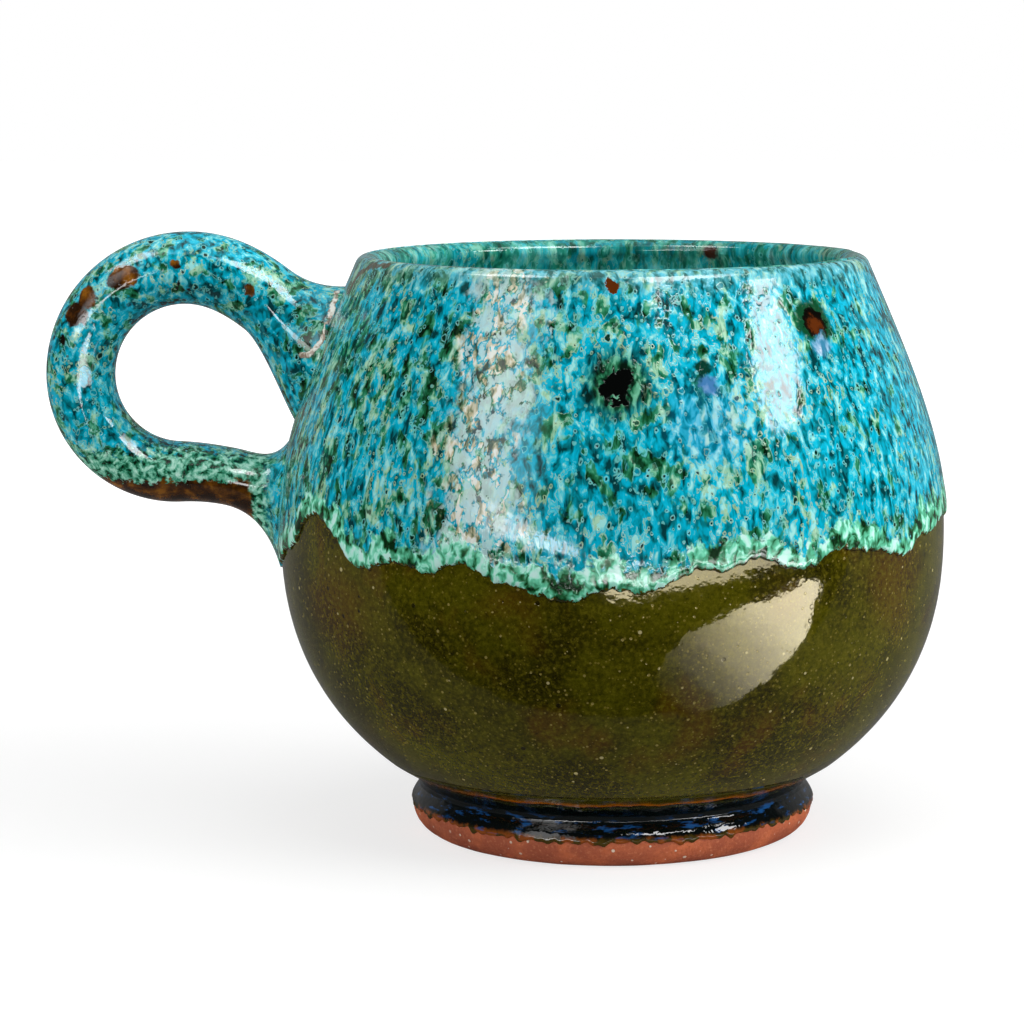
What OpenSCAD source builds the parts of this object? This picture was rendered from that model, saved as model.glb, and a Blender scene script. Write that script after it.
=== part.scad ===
// Jarrito clay mug: a thrown clay bowl on a turned foot ring, with a pulled loop handle luted to its wall.
// A clear olive glaze covers the outside, and a thick turquoise glaze runs down over it to a ragged hem.
// Frame: origin on the mug's axis, in the plane it stands on, Z up, and the handle towards -X.

/* [Bowl] */
// Height from the table to the crest of the glazed lip
mug_h = 90; // [86:0.5:96]
// Diameter of the glazed belly at its widest line
belly_d = 104.4; // [98:0.2:110]
// Height of the belly's widest line
belly_z = 47.5; // [44:0.5:50]
// Diameter that the glazed shoulder closes to at the lip
mouth_d = 78.3; // [72:0.1:84]
// Diameter of the glazed bowl where it leaves the foot
seat_d = 65.2; // [62:0.2:70]
// Thickness of the clay wall at the belly
wall_t = 4.2; // [3.4:0.1:5]
// Thickness of the lip, with its glaze
lip_t = 3.8; // [3.4:0.1:4.6]
// Thickness of the clay floor
floor_t = 5; // [4.4:0.1:6]
// Height over which the inside wall rounds into the floor
floor_round_h = 5; // [4:0.1:7]

/* [Foot] */
// Height of the foot ring, from the table to the bowl
foot_h = 9; // [8.4:0.1:10]
// Diameter of the toe at its widest
toe_d = 63; // [61:0.2:66]
// Height of the toe's widest line
toe_z = 4; // [3:0.1:4.6]
// Diameter of the clay waist under the bowl
waist_d = 58.4; // [56:0.2:59.6]
// Outside diameter of the face it stands on
rest_d = 55.6; // [54:0.2:57]
// Inside diameter of the face it stands on
recess_d = 45; // [40:0.2:48]
// How much the recess narrows on its way up
recess_draft = 1.5; // [0.5:0.1:2.5]
// Depth of the recess under the floor
recess_h = 7.2; // [6:0.1:7.8]
// Chamfer of the inner edge of the face it stands on
foot_edge = 0.8; // [0.4:0.1:1.2]

/* [Glaze] */
// Thickness of the olive coat
base_coat_t = 0.4; // [0.3:0.05:0.5]
// Thickness of the turquoise coat
top_coat_t = 0.5; // [0.4:0.05:0.7]
// Thickness of the coat inside
liner_coat_t = 0.9; // [0.6:0.05:1]
// Thickness of the coat round the handle
handle_coat_t = 0.6; // [0.4:0.05:0.8]
// Thickness of the glaze pooled in the foot's waist
foot_coat_t = 1.15; // [0.9:0.05:1.4]
// Height where the olive coat begins above the waist
base_coat_z = 11.5; // [11:0.1:13]
// Lower edge of the glaze on the foot
foot_coat_z = 4.8; // [4.7:0.05:5.4]
// Mean height of the turquoise hem
hem_z = 48; // [42:0.5:52]
// Depth of one of the hem's runs
hem_drip_h = 3.5; // [1:0.1:4.5]
// How far the hem's bead stands proud of the coat
bead_t = 0.25; // [0.1:0.05:0.6]
// Height of the bead
bead_h = 1.6; // [1:0.1:2.4]

/* [Handle] */
// How far the middle of the loop stands out from the belly
loop_reach = 30.5; // [27:0.5:34]
// How far the middle of the loop lies below the lip
loop_drop = 19; // [17.4:0.2:20.6]
// Radius of the loop's crown
crown_r = 16.8; // [15.6:0.1:18]
// Radius of the loop's heel
heel_r = 15; // [14:0.1:16]
// How far the lower arm sinks on its way to the wall
arm_sink = 2.5; // [1:0.1:4]
// Thickness of the clay loop, seen from the side
loop_t = 9.4; // [8:0.1:10.4]
// Thickness of the upper arm where its root begins
upper_arm_t = 10.4; // [9:0.1:11.4]
// Thickness of the lower arm
lower_arm_t = 7.8; // [7:0.1:9]
// Width of the clay loop across the mug
loop_w = 11.2; // [9:0.1:13]
// Depth of the middle of the upper root below the lip
upper_root_drop = 15.5; // [14.8:0.1:17]
// Height of the upper root on the wall
upper_root_h = 19.6; // [17:0.2:20.4]
// Width of the upper root on the wall
upper_root_w = 17; // [14:0.2:20]
// Reach of the lower root up the wall
lower_root_up = 7; // [6:0.1:8]
// Reach of the lower root's tail down the wall
lower_root_down = 12; // [10:0.2:15]
// Width of the lower root on the wall
lower_root_w = 15; // [12:0.2:18]
// Distance over which a root keeps the loop's own line before it flares
root_lead = 3.5; // [2:0.1:5]
// How far the upper root's flare is lifted off the wall
upper_root_lift = 2.4; // [1.6:0.1:3.6]
// How far the lower root's flare is lifted off the wall
lower_root_lift = 1.2; // [0.8:0.1:2]

/* [Hidden] */
$fn = 120;

// Gap between one coat and the next, and between a root and the clay it is luted to
coat_gap = 0.1;
// Share of a quarter bend's arm at which its guide points stand
round_share = 0.55;
// Fullness of the curve below the belly, where 2 is a plain ellipse
belly_power = 2.33;
// Share of the shoulder's fall that comes early
shoulder_share = 0.6;

belly_r = belly_d / 2;
mouth_r = mouth_d / 2;
seat_r = seat_d / 2;
toe_r = toe_d / 2;
waist_r = waist_d / 2;
rest_r = rest_d / 2;
recess_r = recess_d / 2;
recess_top_r = recess_r - recess_draft;
coat_t = base_coat_t + top_coat_t;
lip_round_r = lip_t / 2;
clay_floor_z = recess_h + floor_t;
// Depth below the belly at which its curve would close
belly_close_h = (belly_z - foot_h) / pow(1 - pow(seat_r / belly_r, 2), 1 / belly_power);
// Small step along the height for reading the wall's slope
slope_step = mug_h / 2000;

// Rows and columns of points along the wall, the lip, the floor, the foot and the coats
wall_rows = 34;
heel_rows = 3;
lip_rows = 6;
floor_rows = 8;
toe_rows = 6;
ankle_rows = 6;
toe_top_rows = 2;
pool_step_rows = 5;
coat_rows = 9;
coat_columns = 108;
loop_sides = 24;

// Points of the wall, each at a depth under the glazed outside

function bezier(a, b, c, d, t) =
    pow(1 - t, 3) * a + 3 * pow(1 - t, 2) * t * b + 3 * (1 - t) * t * t * c + pow(t, 3) * d;
function shoulder(u) = u * u * (1 + shoulder_share - shoulder_share * u);
function outside_r(z) =
    z < belly_z
    ? belly_r * sqrt(1 - pow((belly_z - z) / belly_close_h, belly_power))
    : belly_r - (belly_r - mouth_r) * shoulder((z - belly_z) / (mug_h - belly_z));
function slope(z) = (outside_r(z + slope_step) - outside_r(z - slope_step)) / (2 * slope_step);
function outward(z) = [1, -slope(z)] / norm([1, slope(z)]);
function wall_point(z, depth) = [outside_r(z), z] - depth * outward(z);
function wall_r(z, depth) = outside_r(z) - depth * norm([1, slope(z)]);
function wall_line(low, high, rows, depth) =
    [for (i = [0:rows - 1]) wall_point(low + (high - low) * i / rows, depth)];
function reverse(list) = [for (i = [len(list) - 1:-1:0]) list[i]];

// The lip is one round from the outer wall, over its crest at 90 degrees, to the inner wall

lip_lean = atan(-slope(mug_h - lip_round_r));
lip_z = mug_h - lip_round_r * (1 - sin(lip_lean));
lip_mid = [wall_point(lip_z, lip_round_r)[0], mug_h - lip_round_r];

function lip_point(angle, depth) = lip_mid + (lip_round_r - depth) * [cos(angle), sin(angle)];
function lip_outer(depth) =
    [for (i = [0:lip_rows]) lip_point(lip_lean + (90 - lip_lean) * i / lip_rows, depth)];
function lip_inner(depth) =
    [for (i = [1:lip_rows - 1]) lip_point(90 + (90 + lip_lean) * i / lip_rows, depth)];

// Inside of the bowl from the lip down to the middle of the floor, covered by a coat or bare

function inside_depth(z) =
    let (
        bare_lip_t = lip_t - liner_coat_t,
        fall = min(1, (lip_z - z) / (lip_z - belly_z)))
    bare_lip_t + (coat_t + wall_t - bare_lip_t) * (1 - pow(1 - fall, 2));
function inside_wall(cover) =
    let (low = foot_h + floor_round_h)
    [for (i = [0:wall_rows])
        let (z = lip_z - (lip_z - low) * i / wall_rows)
        wall_point(z, inside_depth(z) + cover)];
function inside_floor(cover) =
    let (
        wall = inside_wall(cover),
        top = wall[wall_rows],
        heading = (top - wall[wall_rows - 1]) / norm(top - wall[wall_rows - 1]),
        arm = (top[1] - clay_floor_z - cover) / -heading[1],
        end = top + arm * heading - [arm, 0])
    [for (i = [1:floor_rows])
        bezier(top, top + round_share * arm * heading, end + [round_share * arm, 0], end, i / floor_rows)];
function inside_line(cover) = concat(
    lip_inner(liner_coat_t - cover),
    inside_wall(cover),
    inside_floor(cover),
    [[0, clay_floor_z + cover]]);

module bowl() {
    color("#9a5238")
    rotate_extrude()
    polygon(concat(
        [[wall_r(foot_h, coat_t), foot_h]],
        wall_line(foot_h, base_coat_z, heel_rows, coat_t),
        wall_line(base_coat_z, lip_z, wall_rows, coat_t),
        lip_outer(coat_t),
        inside_line(0),
        [[0, recess_h], [recess_top_r - (foot_h - recess_h), recess_h], [recess_top_r, foot_h]]));
}

// The foot's outline rounds over the toe and draws in to the waist

function toe_line() =
    let (
        out = toe_r - rest_r,
        low = [rest_r + round_share * out, 0],
        high = [toe_r, (1 - round_share) * toe_z])
    [for (i = [0:toe_rows - 1]) bezier([rest_r, 0], low, high, [toe_r, toe_z], i / toe_rows)];
function ankle_r(z) = waist_r + (toe_r - waist_r) * (1 + cos(180 * (z - toe_z) / (foot_h - toe_z))) / 2;
function ankle_line(low, high, rows) =
    [for (i = [0:rows - 1]) let (z = low + (high - low) * i / rows) [ankle_r(z), z]];

module foot_ring() {
    color("#8c4a34")
    rotate_extrude()
    polygon(concat(
        [[recess_r + foot_edge, 0]],
        toe_line(),
        ankle_line(toe_z, foot_coat_z, toe_top_rows),
        ankle_line(foot_coat_z, foot_h, ankle_rows),
        [[waist_r, foot_h], [recess_top_r, foot_h], [recess_r, foot_edge]]));
}

// The foot's glaze thins out on the toe, is thickest in the waist and fillets up under the belly

pool_share = 0.62;
pool_edge_share = 0.12;
pool_rise_share = 0.8;
pool_seat_share = 0.2;
pool_z = foot_coat_z + pool_share * (foot_h - foot_coat_z);
pool_waist_r = waist_r + foot_coat_t;
pool_top = wall_point(base_coat_z, top_coat_t);
// Least cover over the clay's corner, where the bowl sits on the foot
pool_seat_t = pool_seat_share * foot_coat_t;
pool_seat_z = foot_h - pool_seat_t;

function pool_neck_r(z) =
    let (edge_r = ankle_r(foot_coat_z) + pool_edge_share * foot_coat_t)
    pool_waist_r + (edge_r - pool_waist_r) * (1 + cos(180 * (z - foot_coat_z) / (pool_z - foot_coat_z))) / 2;
function pool_fillet_r(z) =
    let (u = (z - pool_z) / (pool_top[1] - pool_z))
    pool_waist_r + (pool_top[0] - pool_waist_r) * u * u * (1 + pool_rise_share - pool_rise_share * u);
function pool_cover_r(z) =
    z < pool_seat_z
    ? pool_waist_r
      + (wall_r(foot_h, coat_t) + pool_seat_t - pool_waist_r) * pow((z - pool_z) / (pool_seat_z - pool_z), 2)
    : wall_r(max(z, foot_h), coat_t) + pool_seat_t;
function pool_rows(low, high, rows) =
    [for (i = [0:rows - 1])
        let (z = low + (high - low) * i / rows)
        [max(pool_fillet_r(z), pool_cover_r(z)), z]];
function pool_line() = concat(
    [for (i = [0:ankle_rows - 1])
        let (z = foot_coat_z + (pool_z - foot_coat_z) * i / ankle_rows)
        [pool_neck_r(z), z]],
    pool_rows(pool_z, pool_seat_z, pool_step_rows),
    pool_rows(pool_seat_z, foot_h, 1),
    pool_rows(foot_h, pool_top[1], pool_step_rows),
    [pool_top]);

module foot_glaze() {
    color("#15211d")
    rotate_extrude()
    polygon(concat(
        ankle_line(foot_coat_z, foot_h, ankle_rows),
        [[waist_r, foot_h], [wall_r(foot_h, coat_t), foot_h]],
        wall_line(foot_h, base_coat_z, heel_rows, coat_t),
        [wall_point(base_coat_z, coat_t)],
        reverse(pool_line())));
}

// The handle's roots stand on the wall in an egg-shaped footprint, through windows in the coats

loop_x = belly_r + loop_reach;
loop_z = mug_h - loop_drop;
upper_z = mug_h - upper_root_drop;
lower_z = loop_z - heel_r - arm_sink;

function on_wall(y, z, depth) = [-sqrt(pow(wall_r(z, depth), 2) - y * y), y, z];
function side_angle(i) = 360 * i / loop_sides;
function upper_print(i, grow, share) =
    let (angle = side_angle(i), reach = upper_root_h / 2 + grow)
    [share * (upper_root_w / 2 + grow) * cos(angle), upper_z + share * reach * sin(angle)];
function lower_print(i, grow, share) =
    let (angle = side_angle(i), reach = (sin(angle) > 0 ? lower_root_down : lower_root_up) + grow)
    [share * (lower_root_w / 2 + grow) * cos(angle), lower_z - share * reach * sin(angle)];

module root_windows() {
    clear = handle_coat_t + coat_gap;
    for (print = [[for (i = [0:loop_sides - 1]) upper_print(i, clear, 1)],
                  [for (i = [0:loop_sides - 1]) lower_print(i, clear, 1)]])
        rotate([0, -90, 0])
        linear_extrude(loop_x)
        polygon([for (p = print) [p[1], p[0]]]);
}

module base_glaze() {
    color("#5c5a22")
    difference() {
        rotate_extrude()
        polygon(concat(
            wall_line(base_coat_z, lip_z, wall_rows, coat_t),
            lip_outer(coat_t),
            reverse(lip_outer(top_coat_t)),
            reverse(wall_line(base_coat_z, lip_z, wall_rows, top_coat_t))));
        root_windows();
    }
}

module liner_glaze() {
    color("#3f8f83")
    rotate_extrude()
    polygon(concat(
        [lip_point(90, coat_t)],
        inside_line(0),
        reverse(inside_line(liner_coat_t)),
        [lip_point(90, 0)]));
}

// A skin over rings of points, closed round each ring, and from the last ring to the first or capped

module skin(rings, closed) {
    sides = len(rings[0]);
    count = len(rings);
    points = [for (ring = rings) each ring];
    last = closed ? count - 1 : count - 2;
    walls = [for (j = [0:last], i = [0:sides - 1])
        let (
            k = (i + 1) % sides,
            a = j * sides,
            b = ((j + 1) % count) * sides)
        each [[a + i, b + i, b + k], [a + i, b + k, a + k]]];
    caps = closed ? [] : [
        [for (i = [0:sides - 1]) i],
        [for (i = [sides - 1:-1:0]) (count - 1) * sides + i]];
    polyhedron(points, concat(walls, caps));
}

// The hem: each run is [angle, half width in degrees, share of a full run], and a minus lifts the edge

hem_shares = [
    [-96, 22, 1], [-147, 11, -1.5], [-134, 9, 0.5], [-66, 13, -0.25], [-48, 10, -0.45], [-12, 22, -0.85],
    [24, 11, 0.35], [44, 12, -0.5], [64, 12, 0.8], [84, 9, -0.3], [104, 14, -0.65], [128, 11, 0.7],
    [150, 9, -0.4], [180, 26, 2], [-86, 6, 0.15]];
ripple_share = 0.13;
ripple_counts = [17, 29];
// Heights of the bead's rows as shares of its height, and their bareness and fullness as shares
bead_row_shares = [0, 0.3, 1, 2.2, 4];
bead_bare_shares = [0.55, 0.1, 0, 0, 0];
bead_full_shares = [0, 0.5, 1, 0.45, 0];

function turn(a, b) = abs((a - b + 900) % 360 - 180);
function run(angle, half) = angle < half ? (1 + cos(180 * angle / half)) / 2 : 0;
function hem(angle) =
    let (
        runs = [for (h = hem_shares) h[2] * run(turn(angle, h[0]), h[1])],
        ripples = [for (n = ripple_counts) ripple_share * sin(n * angle)],
        all = concat(runs, ripples))
    hem_z - hem_drip_h * ([for (share = all) 1] * all);

function coat_column(angle) =
    let (
        edge = hem(angle),
        bead_top = edge + bead_row_shares[4] * bead_h,
        bead = [for (j = [0:3])
            wall_point(
                edge + bead_row_shares[j] * bead_h,
                top_coat_t * bead_bare_shares[j] - bead_t * bead_full_shares[j])],
        inner_t = top_coat_t - coat_gap,
        line = concat(
            bead,
            wall_line(bead_top, lip_z, coat_rows, 0),
            lip_outer(0),
            reverse(lip_outer(inner_t)),
            reverse(wall_line(bead_top, lip_z, coat_rows, inner_t)),
            [for (j = [3:-1:0]) wall_point(edge + bead_row_shares[j] * bead_h, inner_t)]))
    [for (p = line) [p[0] * cos(angle), p[0] * sin(angle), p[1]]];

module top_glaze() {
    color("#35aeb0")
    difference() {
        skin([for (i = [0:coat_columns - 1]) coat_column(360 * i / coat_columns)], true);
        root_windows();
    }
}

// The loop's middle line: an upper arm out of the shoulder, the crown, the heel and a lower arm

upper_arm_shares = [0.35, 0.6, 0.36];
lower_arm_share = 0.4;
upper_cut_share = 0.42;
lower_cut_share = 0.45;
arm_steps = 5;
bend_steps = 7;

upper_foot = [-wall_r(upper_z, coat_t), upper_z];
crown_top = [crown_r - loop_x, loop_z + crown_r];
heel_low = [heel_r - loop_x, loop_z - heel_r];
lower_foot = [-wall_r(lower_z, coat_t), lower_z];

function upper_arm(t) =
    let (go = crown_top - upper_foot)
    bezier(
        upper_foot,
        upper_foot + [upper_arm_shares[0] * go[0], upper_arm_shares[1] * go[1]],
        crown_top - [upper_arm_shares[2] * go[0], 0],
        crown_top,
        t);
function lower_arm(t) =
    let (go = lower_foot - heel_low)
    bezier(
        heel_low,
        heel_low + [lower_arm_share * go[0], 0],
        lower_foot - [lower_arm_share * go[0], lower_arm_share * go[1]],
        lower_foot,
        t);
function bend(middle, radius, angle) = middle + radius * [cos(angle), sin(angle)];
loop_line = concat(
    [for (i = [0:arm_steps - 1]) upper_arm(upper_cut_share + (1 - upper_cut_share) * i / arm_steps)],
    [for (i = [0:bend_steps - 1]) bend([crown_top[0], loop_z], crown_r, 90 + 90 * i / bend_steps)],
    [for (i = [0:bend_steps - 1]) bend([heel_low[0], loop_z], heel_r, 180 + 90 * i / bend_steps)],
    [for (i = [0:arm_steps]) lower_arm(lower_cut_share * i / arm_steps)]);
loop_last = len(loop_line) - 1;
function loop_heading(i) =
    let (go = loop_line[min(loop_last, i + 1)] - loop_line[max(0, i - 1)])
    go / norm(go);
function ease(u) = (1 - cos(180 * min(1, max(0, u)))) / 2;
function loop_thickness(i) =
    let (crown_last = arm_steps + bend_steps)
    loop_t
    + (upper_arm_t - loop_t) * (1 - ease(i / crown_last))
    + (lower_arm_t - loop_t) * ease((i - crown_last) / (loop_last - crown_last));
function loop_ring(i, grow) =
    let (
        middle = loop_line[i],
        heading = loop_heading(i),
        high = loop_thickness(i) / 2 + grow,
        wide = loop_w / 2 + grow)
    [for (k = [0:loop_sides - 1])
        let (
            out = high * sin(side_angle(k)),
            p = middle + out * [heading[1], -heading[0]])
        [p[0], wide * cos(side_angle(k)), p[1]]];

module handle() {
    color("#a05a3c")
    skin([for (i = [0:loop_last]) loop_ring(i, 0)], false);
}

// A root's side lines leave the loop along its own line, hug the wall by a share and end on the footprint

flare_steps = 7;
upper_hug_shares = [0.35, 0];
lower_hug_shares = [0.5, 0.55];

function flare_point(from, heading, print, middle_z, hug, lift, t) =
    let (
        lead = root_lead * heading,
        z = print[1] + hug * (middle_z - print[1]),
        guide = on_wall((1 - hug) * print[0], z, -lift))
    bezier(from, from + [lead[0], 0, lead[1]], guide, on_wall(print[0], print[1], 0), t);
function hug_at(i, shares) = shares[0] + (shares[1] - shares[0]) * (1 + sin(side_angle(i))) / 2;
function upper_flare(grow, t) =
    let (from = loop_ring(0, grow), heading = -loop_heading(0))
    [for (i = [0:loop_sides - 1])
        let (print = upper_print(i, grow, 1), hug = hug_at(i, upper_hug_shares))
        flare_point(from[i], heading, print, upper_z, hug, upper_root_lift + grow, t)];
function lower_flare(grow, t) =
    let (from = loop_ring(loop_last, grow), heading = loop_heading(loop_last))
    [for (i = [0:loop_sides - 1])
        let (print = lower_print(i, grow, 1), hug = hug_at(i, lower_hug_shares))
        flare_point(from[i], heading, print, lower_z, hug, lower_root_lift + grow, t)];
function upper_seat(grow, share) =
    [for (i = [0:loop_sides - 1])
        let (print = upper_print(i, grow, share))
        on_wall(print[0], print[1], coat_t - coat_gap)];
function lower_seat(grow, share) =
    [for (i = [0:loop_sides - 1])
        let (print = lower_print(i, grow, share))
        on_wall(print[0], print[1], coat_t - coat_gap)];
seat_shares = [1, 0.66, 0.33];

module upper_root() {
    color("#a2583a")
    skin(reverse(concat(
        [for (j = [0:flare_steps]) upper_flare(0, j / flare_steps)],
        [for (share = seat_shares) upper_seat(0, share)])), false);
}

module lower_root() {
    color("#a2583a")
    skin(concat(
        [for (j = [0:flare_steps]) lower_flare(0, j / flare_steps)],
        [for (share = seat_shares) lower_seat(0, share)]), false);
}

function coat_rings(grow) = concat(
    [upper_seat(grow, 1)],
    [for (j = [flare_steps:-1:1]) upper_flare(grow, j / flare_steps)],
    [for (i = [0:loop_last]) loop_ring(i, grow)],
    [for (j = [1:flare_steps]) lower_flare(grow, j / flare_steps)],
    [lower_seat(grow, 1)]);

module handle_glaze() {
    color("#46a596")
    skin(concat(coat_rings(handle_coat_t), reverse(coat_rings(coat_gap))), true);
}

bowl();
foot_ring();
upper_root();
lower_root();
handle();
base_glaze();
foot_glaze();
liner_glaze();
top_glaze();
handle_glaze();
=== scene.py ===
import math

import bpy
import numpy as np
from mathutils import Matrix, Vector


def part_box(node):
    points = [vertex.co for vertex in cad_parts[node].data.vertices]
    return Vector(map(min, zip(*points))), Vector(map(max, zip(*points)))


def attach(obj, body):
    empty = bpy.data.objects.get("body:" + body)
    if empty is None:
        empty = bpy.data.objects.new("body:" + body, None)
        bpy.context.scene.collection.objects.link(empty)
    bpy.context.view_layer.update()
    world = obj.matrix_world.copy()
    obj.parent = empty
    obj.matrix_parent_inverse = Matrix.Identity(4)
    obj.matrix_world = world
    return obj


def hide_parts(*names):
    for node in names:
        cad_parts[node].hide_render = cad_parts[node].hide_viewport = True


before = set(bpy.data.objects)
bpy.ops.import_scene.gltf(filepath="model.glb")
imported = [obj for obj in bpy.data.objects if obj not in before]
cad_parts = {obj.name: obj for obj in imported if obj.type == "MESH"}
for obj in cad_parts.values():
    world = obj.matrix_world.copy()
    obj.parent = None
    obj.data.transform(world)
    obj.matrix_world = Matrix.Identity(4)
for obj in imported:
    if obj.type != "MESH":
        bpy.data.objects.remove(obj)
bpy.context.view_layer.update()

# The clay of the bowl, the handle and its roots
# One thrown wall with its floor and lip, and a pulled loop luted on with two wads, all of the same red clay.
# Glaze covers these pieces, so their solids keep their shape and only get the look of fired clay.

mm = 0.001
clay_brown = "#c06236"
clay_dark = "#98482a"
clay_grit = "#d9c4ae"


def paint(code):
    """A screen colour such as #a85a3c as the shader's own four numbers."""
    parts = [int(code[i:i + 2], 16) / 255 for i in (1, 3, 5)]
    return [*(p / 12.92 if p <= 0.04045 else ((p + 0.055) / 1.055) ** 2.4 for p in parts), 1]


def put(tree, kind, feeds=None, **settings):
    """Adds a node. feeds gives its sockets, by name or number, a value or the socket that feeds them."""
    made = tree.nodes.new(kind)
    for name, value in settings.items():
        setattr(made, name, value)
    for key, value in (feeds or {}).items():
        if isinstance(value, bpy.types.NodeSocket):
            tree.links.new(value, made.inputs[key])
        else:
            made.inputs[key].default_value = value
    return made


def calc(tree, work, *values):
    """One step of arithmetic."""
    return put(tree, "ShaderNodeMath", dict(enumerate(values)), operation=work).outputs[0]


def step(tree, value, low, high, start=0.0, end=1.0):
    """A soft step from start to end while value goes from low to high."""
    feeds = {"Value": value, "From Min": low, "From Max": high, "To Min": start, "To Max": end}
    return put(tree, "ShaderNodeMapRange", feeds, interpolation_type="SMOOTHSTEP").outputs["Result"]


def coat_over(tree, share, under, over):
    """The colour under, covered by the colour over in the given share."""
    feeds = {0: share}
    for place, colour in ((6, under), (7, over)):
        feeds[place] = paint(colour) if isinstance(colour, str) else colour
    return put(tree, "ShaderNodeMix", feeds, data_type="RGBA").outputs[2]


def in_mm(tree, stretch=1.0, shift=0.0):
    """The place on the piece in millimetres. Heights are divided by stretch, so a pattern gets that much taller."""
    place = put(tree, "ShaderNodeTexCoord").outputs["Object"]
    feeds = {"Vector": place, "Location": (shift, shift, shift), "Scale": (1 / mm, 1 / mm, 1 / (mm * stretch))}
    return put(tree, "ShaderNodeMapping", feeds).outputs["Vector"]


def clouds(tree, place, size, detail=3.0, rough=0.5, swirl=0.0):
    """Soft patches about size millimetres across, from 0 to 1."""
    feeds = {"Vector": place, "Scale": 1 / size, "Detail": detail, "Roughness": rough, "Distortion": swirl}
    return put(tree, "ShaderNodeTexNoise", feeds).outputs[0]


def dots(tree, place, size, radius, crowd):
    """Round dots of that radius on a jittered grid of that size, where crowd is the share of cells with a dot."""
    cells = put(tree, "ShaderNodeTexVoronoi", {"Vector": place, "Scale": 1 / size})
    chance = put(tree, "ShaderNodeSeparateColor", {0: cells.outputs["Color"]})
    grown = calc(tree, "MULTIPLY", chance.outputs[1], radius / size)
    near = calc(tree, "SUBTRACT", grown, cells.outputs["Distance"])
    inside = step(tree, near, -0.15 * radius / size, 0.15 * radius / size)
    return calc(tree, "MULTIPLY", inside, calc(tree, "LESS_THAN", chance.outputs[0], crowd))


def finish_of(tree, colour, rough, relief, depth, tint="#ffffff"):
    """The shader of one surface: its colour, roughness, a relief of that depth in millimetres and the tint of its gloss."""
    shader = tree.nodes["Principled BSDF"]
    bump = put(tree, "ShaderNodeBump", {"Strength": 1.0, "Distance": depth * mm, "Height": relief})
    for key, value in (("Base Color", colour), ("Roughness", rough), ("Normal", bump.outputs[0])):
        if isinstance(value, bpy.types.NodeSocket):
            tree.links.new(value, shader.inputs[key])
        else:
            shader.inputs[key].default_value = value
    shader.inputs["Specular Tint"].default_value = paint(tint)


def fired_clay():
    """Bare red clay: a fine sandy skin with pale grit and darker, thirstier patches."""
    made = bpy.data.materials.new("fired_red_clay")
    made.use_nodes = True
    tree = made.node_tree
    place = in_mm(tree)
    patches = step(tree, clouds(tree, place, 6, 4), 0.35, 0.7)
    colour = coat_over(tree, patches, clay_dark, clay_brown)
    grain = clouds(tree, place, 0.5, 3, 0.7)
    colour = coat_over(tree, step(tree, grain, 0.52, 0.72, 0, 0.55), colour, "#cc7c50")
    colour = coat_over(tree, step(tree, grain, 0.47, 0.3, 0, 0.5), colour, "#7c3a20")
    grit = calc(tree, "MAXIMUM", dots(tree, place, 1.3, 0.3, 0.5), dots(tree, in_mm(tree, 1.0, 6.0), 3.2, 0.6, 0.4))
    colour = coat_over(tree, grit, colour, clay_grit)
    finish_of(tree, colour, 0.78, calc(tree, "ADD", grain, grit), 0.12)
    return made


clay = fired_clay()
for name in ("bowl", "upper_root", "lower_root", "handle"):
    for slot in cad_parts[name].material_slots:
        slot.material = clay

# The foot ring
# A ring of the same clay under the bowl, turned on the wheel when leather hard, and left bare on its toe.
# It is one turned outline, swept round the axis, with the fine unevenness that a turning tool leaves.

foot_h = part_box("foot_ring")[1].z
toe_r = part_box("foot_ring")[1].x
toe_z = 4 * mm
waist_r = 29.2 * mm
rest_r = 27.8 * mm
recess_r = 22.5 * mm
recess_top_r = 21 * mm
foot_edge = 0.8 * mm


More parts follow.
